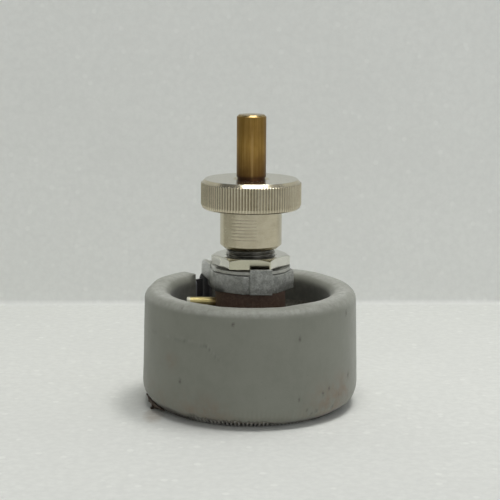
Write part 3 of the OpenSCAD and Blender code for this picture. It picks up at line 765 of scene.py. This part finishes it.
def core_shape(R, Z, A):
    d = 0.03 * fbm(np.stack([R * np.cos(A), R * np.sin(A), Z], -1) / 1.5, 2, 4) - 0.03
    return R + d * np.sign(R - 19.1), Z


core = done(revolve("core_body", core_pts, 360, (G0, G1), 40, core_shape), "stator", "ceramic", CERAMIC, "ceramic_core")
plates = soft_copy("end_insulators", "end_plates", 0.06)
co = np.zeros(3 * len(plates.data.vertices), np.float32)
plates.data.vertices.foreach_get("co", co)
co = co.reshape(-1, 3) / MM
# the cut inner edge of the left plate is painted pale, a painted highlight where the edge catches light through the gap
attribute(plates, "pale", smooth(17.5, 17.0, np.hypot(co[:, 0], co[:, 1])) * (co[:, 0] + 0.63 * co[:, 1] < 0) * smooth(12.0, 16.0, co[:, 2]))
done(plates, "stator", "insulator", FIBRE, "end_insulators")


def paper_shape(R, Z, A):
    return R + 0.10 * vnoise(np.stack([A * 9 + 0 * Z, Z / 4, 0 * Z + 0 * A], -1), 33), Z + 0.12 * vnoise(np.stack([A * 14 + 0 * Z, 0 * Z + 0 * A, 0 * Z + 0 * A], -1), 34) * (Z > 20)


paper = fillet([(19.2, 12.2, 0.05), (19.5, 12.2, 0.05), (19.5, 22.5, 0.10), (19.2, 22.5, 0.10)], 2)
done(revolve("gap_paper", paper, 72, (122.6, 132.4), 40, paper_shape), "stator", "insulator", FIBRE)
done(soft_copy("end_terminals", "end_tags", 0.08), "stator", "brass", STRIP, "end_terminals")
done(soft_copy("terminal_rivets", "tag_rivets", 0.16, 3), "stator", "brass", BRASS, "terminal_rivets")


def make_tail():
    """Loose end of the winding: an oxidised twist of wire along the foot, with two stubs sticking out."""
    hug = lambda z: 18.2 + 4 * np.sqrt(1 - ((5 - z) / 5) ** 2)
    paths, rad = [], []
    t = np.linspace(0, 1, 40)
    for a0, a1, z0, z1, off, w, q in ((193.0, 212.0, 2.5, 0.60, 0.08, 0.29, 0), (195.0, 206.5, 1.9, 0.60, 0.30, 0.33, 1), (197.0, 204.5, 1.10, 0.45, 0.48, 0.36, 2)):
        z = z0 + (z1 - z0) * t ** 0.8 + 0.10 * np.sin(9 * t + 2 * q)
        r = hug(np.clip(z, 0.1, 4.9)) + off * np.sin(math.pi * t) ** 0.5
        a = np.radians(a0 + (a1 - a0) * t)
        w = w * (0.45 + 0.55 * np.sin(math.pi * t) ** 0.6) * (1 + 0.22 * vnoise(np.c_[t * 9, 0 * t, 0 * t + q], 61 + q))
        paths.append(np.stack([r * np.cos(a), r * np.sin(a), np.maximum(z, w + 0.03)], -1))
        rad.append(w)
    for a0, r0, r1, z0, z1, bend, w in ((200.6, 20.5, 21.70, 0.45, 0.38, 0.020, 0.35), (197.6, 21.0, 21.70, 1.60, 1.40, 0.0, 0.30)):
        a = np.radians(a0) + bend * t ** 2
        r, z = r0 + (r1 - r0) * t, z0 + (z1 - z0) * t
        w = w * np.sqrt(1.04 - t ** 4) * (1 + 0.15 * vnoise(np.c_[t * 6, 0 * t, 0 * t + a0], 71))
        paths.append(np.stack([r * np.cos(a), r * np.sin(a), np.maximum(z, w + 0.03)], -1))
        rad.append(w)
    return sweep("winding_lead", paths, rad, 10, 50)


done(make_tail(), "stator", "winding", TAIL, "winding_tail")


# ---------------------------------------------------------------- the hub
done(soft_copy("base_disc", "base_plate", 0.15), "stator", "phenolic", DISC, "base_disc")


def bead_shape(R, Z, A):
    P = np.stack([R * np.cos(A), R * np.sin(A), Z], -1)
    w = smooth(16.3, 15.3, R) + smooth(17.1, 18.2, Z)
    return R - 0.35 * np.abs(fbm(P / 2.2, 3, 8)) * smooth(16.3, 15.0, R), Z - 0.4 * w * np.abs(fbm(P / 1.7, 3, 12)) * smooth(17.1, 18.4, Z)


bead_pts = [(14.85, 17.02), (15.6, 17.02), (16.35, 17.02), (16.35, 17.7), (16.35, 18.5), (16.1, 18.05), (15.9, 17.75),
            (15.7, 17.5), (15.5, 17.35), (15.2, 17.17)]
done(revolve("bead_fillet", bead_pts, 300, (G0, G1), 45, bead_shape), "stator", "cement", BEAD, "cement_bead")

done(revolve("spacer_tube", fillet([(5.06, 17.02, 0.1), (7.2, 17.02, 0.15), (7.2, 24.18, 0.25), (5.06, 24.18, 0.1)]), 128),
     "stator", "phenolic", SPACER, "hub_spacer")


def make_casting_mesh():
    src = bpy.data.objects.new("casting_src", NODES["mounting_casting"].data.copy())
    scene.collection.objects.link(src)
    rm = src.modifiers.new("skin", "REMESH")
    rm.mode = "VOXEL"
    rm.voxel_size = 0.125 * MM
    sm = src.modifiers.new("soften", "SMOOTH")
    sm.factor = 0.5
    sm.iterations = 6
    dg = bpy.context.evaluated_depsgraph_get()
    me = bpy.data.meshes.new_from_object(src.evaluated_get(dg))
    bpy.data.objects.remove(src)
    n = len(me.vertices)
    co = np.zeros(n * 3, np.float32)
    me.vertices.foreach_get("co", co)
    co = co.reshape(-1, 3).astype(float)
    no = np.zeros(n * 3, np.float32)
    me.vertex_normals.foreach_get("vector", no)
    no = no.reshape(-1, 3).astype(float)
    p = co / MM
    rad = np.hypot(p[:, 0], p[:, 1])
    d = 0.045 * fbm(p / 1.3, 3, 2) + 0.018 * fbm(p / 0.45, 2, 14) - 0.02
    d = d * smooth(5.1, 5.6, rad) * smooth(24.2, 24.5, p[:, 2])
    co = co + no * (d * MM)[:, None]
    me.vertices.foreach_set("co", co.astype(np.float32).ravel())
    me.name = "hub_casting"
    me.update()
    return finish_mesh("hub_casting", me, 60)


done(make_casting_mesh(), "stator", "casting", CASTING, "mounting_casting")


def make_web():
    """Low web that backs the side lug."""
    back = np.array(ccw(fillet([(-9.75, 26.4, 0.15), (-8.6, 25.2, 0.15), (-8.05, 25.2, 0.1), (-8.05, 29.0, 0.25), (-9.75, 29.0, 0.45)], 5)))
    front = np.array(ccw(fillet([(-9.60, 26.6, 0.15), (-8.75, 25.7, 0.15), (-8.22, 25.7, 0.1), (-8.22, 28.95, 0.2), (-9.60, 28.95, 0.45)], 5)))
    rows = []
    for y, s, prof in ((-0.45, 0.92, front), (-0.40, 0.98, front), (-0.25, 1.0, front), (0.6, 1.0, front), (1.5, 1.0, front), (2.1, 1.0, back), (2.4, 1.0, back),
                       (2.72, 1.0, back), (2.85, 0.97, back), (2.92, 0.90, back)):
        mid = prof.mean(0)
        q = mid + (prof - mid) * s
        rows.append(np.stack([q[:, 0], 0 * q[:, 0] + y, q[:, 1]], -1))
    m = len(back)
    faces = grid_faces(len(rows), m, False, True)
    faces.append(list(range(m)))
    faces.append([(len(rows) - 1) * m + j for j in range(m)][::-1])
    return mesh_obj("lug_web", np.concatenate(rows), faces, 40)


done(make_web(), "stator", "casting", CASTING)


def make_bush():
    """Bush with a real helical thread of 0.75 mm pitch."""
    n = 96
    A = np.arange(n) / n * TAU
    zt = np.arange(24.3, 42.35, 0.0625)
    low = [(2.54, 12.8), (6.38, 12.8), (6.5, 12.92), (6.5, 13.86), (6.38, 13.98), (5.0, 13.98), (4.985, 24.0)]
    high = [(4.62, 42.6), (4.5, 42.85), (4.42, 42.9), (2.9, 42.9), (2.84, 42.84), (2.84, 17.9), (2.54, 17.9)]
    m = len(low) + len(zt) + len(high)
    R, Z = np.zeros((n, m)), np.zeros((n, m))
    for j, (r, z) in enumerate(low):
        R[:, j], Z[:, j] = r, z
    ph = (zt[None, :] / 0.75 - A[:, None] / TAU) % 1.0
    tri = 2 * np.abs(ph - 0.5)
    depth = 0.44 * (1 - np.clip(tri * 1.28 - 0.10, 0, 1))
    R[:, len(low):len(low) + len(zt)] = 4.985 - depth * smooth(24.3, 24.8, zt)[None, :] * smooth(42.45, 42.0, zt)[None, :] ** 0.5
    Z[:, len(low):len(low) + len(zt)] = zt
    for j, (r, z) in enumerate(high):
        R[:, len(low) + len(zt) + j], Z[:, len(low) + len(zt) + j] = r, z
    return mesh_obj("bush_thread", polar_grid(R, Z, A), grid_faces(n, m, True, True), 38)


done(make_bush(), "stator", "bush", BUSH, "threaded_bush")
done(soft_copy("slip_ring", "slip_track", 0.06), "stator", "brass", STRIP, "slip_ring")
done(soft_copy("slip_ring_rivets", "track_rivets", 0.16, 3), "stator", "brass", BRASS, "slip_ring_rivets")

along_x = Matrix.Translation(Vector((-13.1, 0, 20.9)) * MM) @ Matrix.Rotation(math.radians(90), 4, "Y")


def pin_shape(R, Z, A):
    worn = 0.035 * fbm(np.stack([R * np.cos(A), R * np.sin(A), Z], -1) / 1.1, 2, 6) - 0.02
    return R + worn * (R > 0.3), Z


pin_pts = [(0, 0)] + [(r, z) for r, z in arc(0.74, 0.18, 0.18, 0.18, -90, 0, 5)] + [(0.92, z) for z in (1.2, 2.4, 3.6, 4.8, 6.0, 7.65)] + [(0, 7.65)]
done(revolve("wiper_pin", pin_pts, 48, None, 40, pin_shape, along_x), "stator", "brass", PIN, "wiper_terminal")
done(revolve("wiper_post", fillet([(0, 14.0), (0.8, 14.0, 0.08), (0.8, 19.97, 0.12), (0, 19.97)], 3), 40, None, 34, None,
             Matrix.Translation(Vector((-9, 0, 0)) * MM)), "stator", "brass", BRASS, "terminal_post")
stop_at = Matrix.Rotation(math.radians(125), 4, "Z") @ Matrix.Translation(Vector((9, 0, 0)) * MM)
done(revolve("stop_pillar", fillet([(0, 9.0), (1.2, 9.0, 0.2), (1.2, 13.98, 0.06), (0.8, 13.98, 0.02), (0.8, 15.9, 0.05), (0, 15.9)], 3), 48,
             None, 34, None, stop_at), "stator", "steel", STEEL, "stop_post")


# ---------------------------------------------------------------- the rotor
def shaft_shape(R, Z, A):
    nick = fbm(np.stack([R * np.cos(A), R * np.sin(A), Z], -1) / 0.9, 2, 18)
    return R + 0.006 * (nick - 1) * (R > 2.4), Z


shaft_pts = fillet([(0, 3.0), (2.5, 3.0, 0.3), (2.5, 4.0), (2.0, 4.0), (2.0, 4.65), (2.5, 4.65), (2.5, 18.0), (2.8, 18.0), (2.8, 46.9),
                    (3.0, 46.9, 0.03), (3.0, 59.08, 0.10), (2.62, 59.5, 0.10), (0, 59.5)], 4)
more = []
for a, b in zip(shaft_pts, shaft_pts[1:] + shaft_pts[:1]):
    more.append(a)
    if abs(b[1] - a[1]) > 5 and a[0] > 2.4 and b[0] > 2.4:
        k = int(abs(b[1] - a[1]) / 0.9)
        more += [(a[0] + (b[0] - a[0]) * i / k, a[1] + (b[1] - a[1]) * i / k) for i in range(1, k)]
done(revolve("control_shaft", more, 120, None, 30, shaft_shape), "rotor", "brass_shaft", SHAFT, "shaft")
done(soft_copy("rotor_hub", "hub_block", 0.18, 3), "rotor", "phenolic", HUB, "rotor_hub")
done(soft_copy("hub_pin", "cross_pin", 0.10, 2), "rotor", "steel", STEEL, "hub_pin")
done(soft_copy("brush_holder", "brush_tube", 0.07, 2), "rotor", "brass", BRASS, "brush_holder")


def make_spring():
    t = np.linspace(0, 1, 400)
    turns = 9.0
    a = t * turns * TAU
    x = 5.0 + 5.2 * (0.06 * t + 0.94 * smooth(-0.02, 1.02, t))
    y, z = 1.25 * np.cos(a), 8 + 1.25 * np.sin(a)
    c, s = math.cos(math.radians(305)), math.sin(math.radians(305))
    return sweep("brush_coil", [np.stack([x * c - y * s, x * s + y * c, z], -1)], 0.19, 8, 60)


done(make_spring(), "rotor", "steel", STEEL, "brush_spring")
done(soft_copy("carbon_brush", "contact_brush", 0.08, 2), "rotor", "carbon", CARBON, "carbon_brush")
done(soft_copy("collector_finger", "pickup_finger", 0.05, 2), "rotor", "brass", STRIP, "collector_finger")
done(soft_copy("finger_screws", "pickup_screws", 0.07, 2), "rotor", "steel", STEEL, "finger_screws")
done(revolve("dished_washer", fillet([(2.65, 11.9, 0.05), (4.9, 11.53, 0.08), (4.9, 11.83, 0.08), (2.65, 12.2, 0.05)], 3), 96), "rotor", "steel", STEEL,
     "spring_washer")
done(revolve("wear_washer", fillet([(2.6, 12.26, 0.05), (5.4, 12.26, 0.08), (5.4, 12.7, 0.08), (2.6, 12.7, 0.05)], 3), 96), "rotor", "brass", BRASS,
     "thrust_washer")
done(soft_copy("retaining_clip", "shaft_clip", 0.09, 2), "rotor", "steel", BLUED, "retaining_clip")


# ---------------------------------------------------------------- nuts and washer
done(soft_copy("collet_ring", "split_collet", 0.06, 2), "collet", "brass", BRASS, "collet_ring")


def make_lock_nut():
    teeth, per = 104, 12
    n = teeth * per
    A = np.arange(n) / n * TAU
    outer = fillet([(5.04, 32.35, 0.05), (5.4, 32.35, 0.10), (6.3, 33.15, 0.14), (6.3, 40.58, 0.10), (9.76, 40.58, 0.05), (9.98, 40.80, 0.05), (10.22, 41.42, 0.05),
                    (10.22, 45.70, 0.04), (10.0, 45.86, 0.03), (9.40, 46.5, 0.07), (3.7, 46.5, 0.08), (3.3, 46.1, 0.06), (3.3, 45.0, 0.05), (5.04, 43.4, 0.05)], 4)
    pts = []
    for a, b in zip(outer, outer[1:] + outer[:1]):
        pts.append(a)
        d = math.hypot(b[0] - a[0], b[1] - a[1])
        step = 0.09 if (abs(a[0] - 6.3) < 0.02 and abs(b[0] - 6.3) < 0.02) else 0.8
        if d > 0.5 and a[0] > 6.0 and b[0] > 6.0:
            k = int(d / step) + 1
            pts += [(a[0] + (b[0] - a[0]) * i / k, a[1] + (b[1] - a[1]) * i / k) for i in range(1, k)]
    p = ccw(pts)
    m = len(p)
    R, Z = np.repeat(p[None, :, 0], n, 0), np.repeat(p[None, :, 1], n, 0)
    ph = (np.arange(n) % per) / per
    groove = np.clip((np.abs(ph - 0.5) * 2 - 0.12) / 0.80, 0, 1)
    idx = np.arange(n) // per
    uneven = 0.04 * vnoise(np.c_[idx * 0.37, 0 * idx, 0 * idx], 41)
    tooth = 10.22 - (0.19 + uneven) * groove
    R = np.where(Z > 39.9, np.minimum(R, tooth[:, None] + 0.0 * R), R)
    # tool marks left on the sleeve, worn away over most of it
    deg = np.degrees(A)
    keep = 0.04 + 0.96 * smooth(229, 236, deg) * (1 - smooth(279, 283, deg))
    line = np.clip(np.cos((Z - 36.2) / 0.68 * TAU) * 1.6 - 0.5, 0, 1) * smooth(34.4, 34.9, Z) * smooth(39.3, 38.8, Z)
    R = R - 0.018 * line * keep[:, None] * (np.abs(R - 6.3) < 0.02)
    ob = mesh_obj("knurled_nut", polar_grid(R, Z, A), grid_faces(n, m, True, True), 38)
    dirt_and_shade = groove[:, None] * smooth(9.7, 10.1, p[:, 0])[None, :] * (p[:, 1] > 39.9)[None, :]
    # painted shade: the right side of the sleeve is painted darker, on top of the darkened tool marks
    painted_light_tone = 0.19 * smooth(-4.5, 0.5, R * np.cos(A)[:, None])
    dirt_and_shade = np.where((np.abs(p[:, 0] - 6.3) < 0.02)[None, :], 0.45 * line * keep[:, None] + painted_light_tone, dirt_and_shade)
    attribute(ob, "dirt_and_shade", dirt_and_shade)
    return ob


done(make_lock_nut(), "lock", "nickel", NICKEL, "lock_nut")
washer = revolve("flat_washer", fillet([(5.07, 27.95, 0.06), (8.1, 27.95, 0.12), (8.1, 28.8, 0.16), (7.75, 28.8), (5.07, 28.8, 0.06)], 4), 160)
co = np.zeros(3 * len(washer.data.vertices), np.float32)
washer.data.vertices.foreach_get("co", co)
co = co.reshape(-1, 3) / MM
beside = smooth(-6.8, -7.5, co[:, 0])
right = smooth(5.4, 6.8, co[:, 0])
# painted shade on the washer's top face under the nut and along its lower edge on the casting, kept off beside the lug
attribute(washer, "dirt_and_shade", smooth(28.62, 28.76, co[:, 2]) * (1 - beside) * (1 - 0.3 * right) + 0.6 * smooth(28.12, 28.0, co[:, 2]) * (1 - 0.7 * beside))
# painted light: beside the lug, and faintly on the right, the washer is painted pale and less metallic
attribute(washer, "painted_light_tone", np.maximum(beside, 0.08 * right))
done(washer, "washer", "washer", ZINC, "panel_washer")


def make_hex():
    z0, t, af = 28.84, 2.2, 14.0
    rc, rot = af / 2 / math.cos(math.radians(30)), math.radians(-1.3)
    side = np.r_[np.linspace(-30, -27, 7)[:-1], np.linspace(-27, 27, 37), np.linspace(27, 30, 7)[1:-1]]
    A = np.concatenate([np.radians(side + 30 + 60 * i) for i in range(6)])
    loc = np.radians((np.degrees(A)) % 60 - 30)
    hexr = af / 2 / np.cos(loc)
    hexr = np.minimum(hexr, rc - 0.07 + 0.04 * (1 - np.clip(np.abs(np.abs(np.degrees(loc)) - 30) / 2.0, 0, 1) ** 2))
    A = A + rot
    lim = 7.2
    zc = np.clip((hexr - lim) * 0.5 / (rc + 0.1 - lim), 0, None)
    edge = np.minimum(hexr, lim)
    cols = []
    for r, z in ((5.03 + 0 * A, 0.35 + 0 * A), (5.40 + 0 * A, 0 * A), (0.5 * (5.4 + edge), 0 * A), (edge - 0.05, 0 * A), (edge, 0.012 + 0 * A),
                 (0.5 * (edge + hexr), 0.03 * zc + 0.012), (hexr - 0.012, 0.06 * zc + 0.020),
                 *((hexr, 0.06 * zc + 0.045 + (t - 1.06 * zc - 0.09) * i / 14) for i in range(15)), (hexr - 0.012, t - zc - 0.010), (0.5 * (edge + hexr), t - 0.5 * zc - 0.012),
                 (edge, t - 0.012 + 0 * A), (edge - 0.05, t + 0 * A), (0.5 * (5.4 + edge), t + 0 * A), (5.40 + 0 * A, t + 0 * A),
                 (5.03 + 0 * A, t - 0.35 + 0 * A)):
        cols.append((r, z0 + z))
    R = np.stack([c[0] for c in cols], 1)
    Z = np.stack([c[1] for c in cols], 1)
    ob = mesh_obj("hex_nut", polar_grid(R, Z, A), grid_faces(len(A), len(cols), True, True), 24)
    # painted reflection: a dark patch on the front flat just above the casting's rib, standing for the rib's shaded
    # back mirrored in the flat
    X, Y = R * np.cos(A)[:, None], R * np.sin(A)[:, None]
    painted_rib_reflection = smooth(-0.35, -0.05, X) * smooth(3.95, 3.60, X) * (Y < -6.6) * (0.30 * smooth(30.55, 30.15, Z) + 0.70 * smooth(30.05, 29.75, Z))
    # painted shadow along the lower edge of the nut's front, where it sits on the washer
    attribute(ob, "dirt_and_shade", painted_rib_reflection + 0.8 * (Y < 0) * smooth(29.02, 28.90, Z) * smooth(-7.7, -7.2, X) * (1 - 0.7 * smooth(5.4, 6.8, X)))
    # painted light: the corner beside the lug is painted pale and less metallic, lifting it out of the lug's shade and
    # its dark reflection
    attribute(ob, "painted_light_tone", smooth(-5.7, -6.7, X) * smooth(30.7, 30.1, Z) * (Y < 1.0) * (1 - smooth(29.04, 28.92, Z) * smooth(-7.7, -7.2, X)))
    return ob


done(make_hex(), "hexnut", "chrome", CHROME, "panel_nut")


# ---------------------------------------------------------------- stage
def one_sided(name, base, rough=0.85, grain=0.0, glow=None, mark=False):
    """A pale sheet that can't be seen from behind, so that it never stands between the camera and the part."""
    k = Mat(name, rough=rough, spec=0.15)
    x, y, z = k.xyz()
    a = k.noise(0.030, 4, 0.6)
    b = k.noise(0.62, 4, 0.62)
    bead = k.ramp(k.voronoi(0.30, "DISTANCE_TO_EDGE"), 0.0, 0.16)
    flash = k.ramp(k.voronoi(0.21), 0.10, 0.17, 1.0, 0.0)
    col = k.mix(k.ramp(a, 0.3, 0.7), tuple(0.97 * c for c in base), base)
    col = k.mix(k.ramp(b, 0.30, 0.70, 0.0, grain), col, tuple(0.88 * c for c in base))
    col = k.mix(k.math("MULTIPLY", k.math("SUBTRACT", 1.0, bead), 0.45 * grain), col, tuple(0.90 * c for c in base))
    col = k.mix(k.math("MULTIPLY", flash, 0.7 * grain), col, tuple(1.12 * c for c in base))
    if mark:
        # a little rust has come off the wire on to the sheet
        d = k.math("ADD", k.math("POWER", k.math("DIVIDE", k.math("ADD", x, 19.3), 2.6), 2.0), k.math("POWER", k.math("DIVIDE", k.math("ADD", y, 12.0), 6.0), 2.0))
        col = k.mix(k.math("MULTIPLY", k.ramp(d, 1.0, 0.0), k.ramp(k.noise(0.7, 4, 0.6), 0.25, 0.6, 0.15, 0.40)), col, (0.42, 0.33, 0.24))
    k.set("Base Color", col)
    k.bump(b, 0.30 * grain, 0.3)
    if glow is not None:
        k.set("Emission Color", (0.97, 1.0, 0.96))
        k.set("Emission Strength", k.ramp(z, 0.0, 100.0, glow[0], glow[1], "LINEAR"))
    geo = k.t.nodes.new("ShaderNodeNewGeometry")
    lp = k.t.nodes.new("ShaderNodeLightPath")
    clear = k.t.nodes.new("ShaderNodeBsdfTransparent")
    mx = k.t.nodes.new("ShaderNodeMixShader")
    k.put(k.math("MULTIPLY", geo.outputs["Backfacing"], lp.outputs["Is Camera Ray"]), mx.inputs[0])
    k.t.links.new(k.b.outputs[0], mx.inputs[1])
    k.t.links.new(clear.outputs[0], mx.inputs[2])
    k.t.links.new(mx.outputs[0], k.t.nodes["Material Output"].inputs["Surface"])
    return k.m


def sheet_mesh(name, prof, x0, x1, material, n=2):
    """A sheet along X from a line of (y, z) points in mm, facing up and forwards."""
    xs = np.linspace(x0, x1, n)
    V = np.array([[x, y, z] for x in xs for y, z in prof])
    ob = mesh_obj(name, V, grid_faces(n, len(prof), False, False), 60)
    ob.data.materials.append(material)
    return ob


WALL_Y, SWEEP, SKEW = 90.8, 1.3, math.radians(2.3)
FLOOR = one_sided("stage_floor", (0.835, 0.843, 0.812), 0.9, 0.62, None, True)
WALL = one_sided("stage_wall", (0.79, 0.797, 0.770), 0.9, 0.42, (0.062, 0.048))
floor = sheet_mesh("stage_floor_sheet", [(-700, 0), (-200, 0), (0, 0), (WALL_Y + 20, 0)], -420, 420, FLOOR, 3)
prof = [(WALL_Y - SWEEP + SWEEP * math.sin(t), SWEEP - SWEEP * math.cos(t)) for t in np.linspace(0.0, math.pi / 2, 12)]
prof += [(WALL_Y, 60), (WALL_Y, 120), (WALL_Y, 300)]
wall = sheet_mesh("stage_wall_sheet", prof, -420, 420, WALL, 3)
# the board behind isn't quite square to the camera
wall.data.transform(Matrix.Rotation(SKEW, 4, "Z"))


def area(name, loc, target, sx, sy, watts, colour):
    d = bpy.data.lights.new(name, "AREA")
    d.shape = "RECTANGLE"
    d.size, d.size_y = sx, sy
    d.energy = watts
    d.color = colour
    ob = bpy.data.objects.new(name, d)
    ob.location = loc
    ob.rotation_mode = "QUATERNION"
    ob.rotation_quaternion = (Vector(target) - Vector(loc)).to_track_quat("-Z", "Y")
    scene.collection.objects.link(ob)
    return ob


area("ceiling", (0.035, -0.06, 0.60), (0.0, 0.0, 0.0), 0.30, 0.12, 1.19, (1.0, 0.995, 0.97))
area("ceiling_back", (0.150, 0.060, 0.60), (0.0, 0.0, 0.0), 0.24, 0.10, 0.72, (1.0, 0.995, 0.97))


def left_card():
    """A grey card out of shot on the left, for the metal to reflect."""
    k = Mat("stage_card", rough=0.9, spec=0.1)
    k.set("Base Color", k.mix(k.noise(0.05, 3), (0.46, 0.465, 0.44), (0.52, 0.525, 0.50)))
    ob = mesh_obj("stage_left_card", [(-150, -100, 0.5), (-150, 95, 0.5), (-150, 95, 110), (-150, -100, 110)], [[0, 1, 2, 3]])
    ob.data.materials.append(k.m)
    ob.visible_camera = False


left_card()


def make_room():
    """The room as the metal sees it: dim ceiling, lighter right side, darker left side."""
    world = bpy.data.worlds.new("room")
    scene.world = world
    world.use_nodes = True
    t = world.node_tree
    bg = t.nodes["Background"]
    tc = t.nodes.new("ShaderNodeTexCoord")
    sep = t.nodes.new("ShaderNodeSeparateXYZ")
    t.links.new(tc.outputs["Generated"], sep.inputs[0])

    def ramp(v, lo, hi, a, b):
        n = t.nodes.new("ShaderNodeMapRange")
        n.interpolation_type = "SMOOTHSTEP"
        t.links.new(v, n.inputs["Value"])
        for key, val in (("From Min", lo), ("From Max", hi), ("To Min", a), ("To Max", b)):
            n.inputs[key].default_value = val
        return n.outputs["Result"]

    def op(kind, a, b):
        n = t.nodes.new("ShaderNodeMath")
        n.operation = kind
        for v, s in ((a, n.inputs[0]), (b, n.inputs[1])):
            if isinstance(v, bpy.types.NodeSocket):
                t.links.new(v, s)
            else:
                s.default_value = v
        return n.outputs[0]

    side = ramp(sep.outputs["X"], -0.9, 0.9, ROOM["left"], ROOM["right"])
    front = ramp(sep.outputs["Y"], 0.0, -0.9, 0.0, ROOM["front"])
    up = ramp(sep.outputs["Z"], 0.15, 0.8, 1.0, ROOM["up"])
    level = op("MULTIPLY", op("ADD", side, front), up)
    lp = t.nodes.new("ShaderNodeLightPath")
    mx = t.nodes.new("ShaderNodeMix")
    t.links.new(lp.outputs["Is Camera Ray"], mx.inputs[0])
    t.links.new(level, mx.inputs[2])
    mx.inputs[3].default_value = 0.53
    bg.inputs["Color"].default_value = (0.96, 0.985, 1.0, 1)
    t.links.new(mx.outputs[0], bg.inputs["Strength"])


ROOM = {"left": 0.25, "right": 0.66, "front": 0.15, "up": 0.50}
make_room()

# ---------------------------------------------------------------- camera
ELEV, DIST, ROLL = math.radians(10.47), 0.287, math.radians(0.40)
target = Vector((-0.144, 0.0, 31.75)) * MM
cam_data = bpy.data.cameras.new("photo_camera")
cam_data.sensor_width = 36.0
cam_data.lens = 1400 * 36.0 / 500
cam_data.clip_start, cam_data.clip_end = 0.01, 10.0
cam = bpy.data.objects.new("photo_camera", cam_data)
cam.location = target + DIST * Vector((0, -math.cos(ELEV), math.sin(ELEV)))
cam.rotation_mode = "QUATERNION"
cam.rotation_quaternion = (target - cam.location).to_track_quat("-Z", "Y") @ Quaternion((0, 0, 1), ROLL)
scene.collection.objects.link(cam)
scene.camera = cam
scene.view_settings.view_transform = "Standard"
scene.view_settings.look = "None"

bpy.context.view_layer.update()
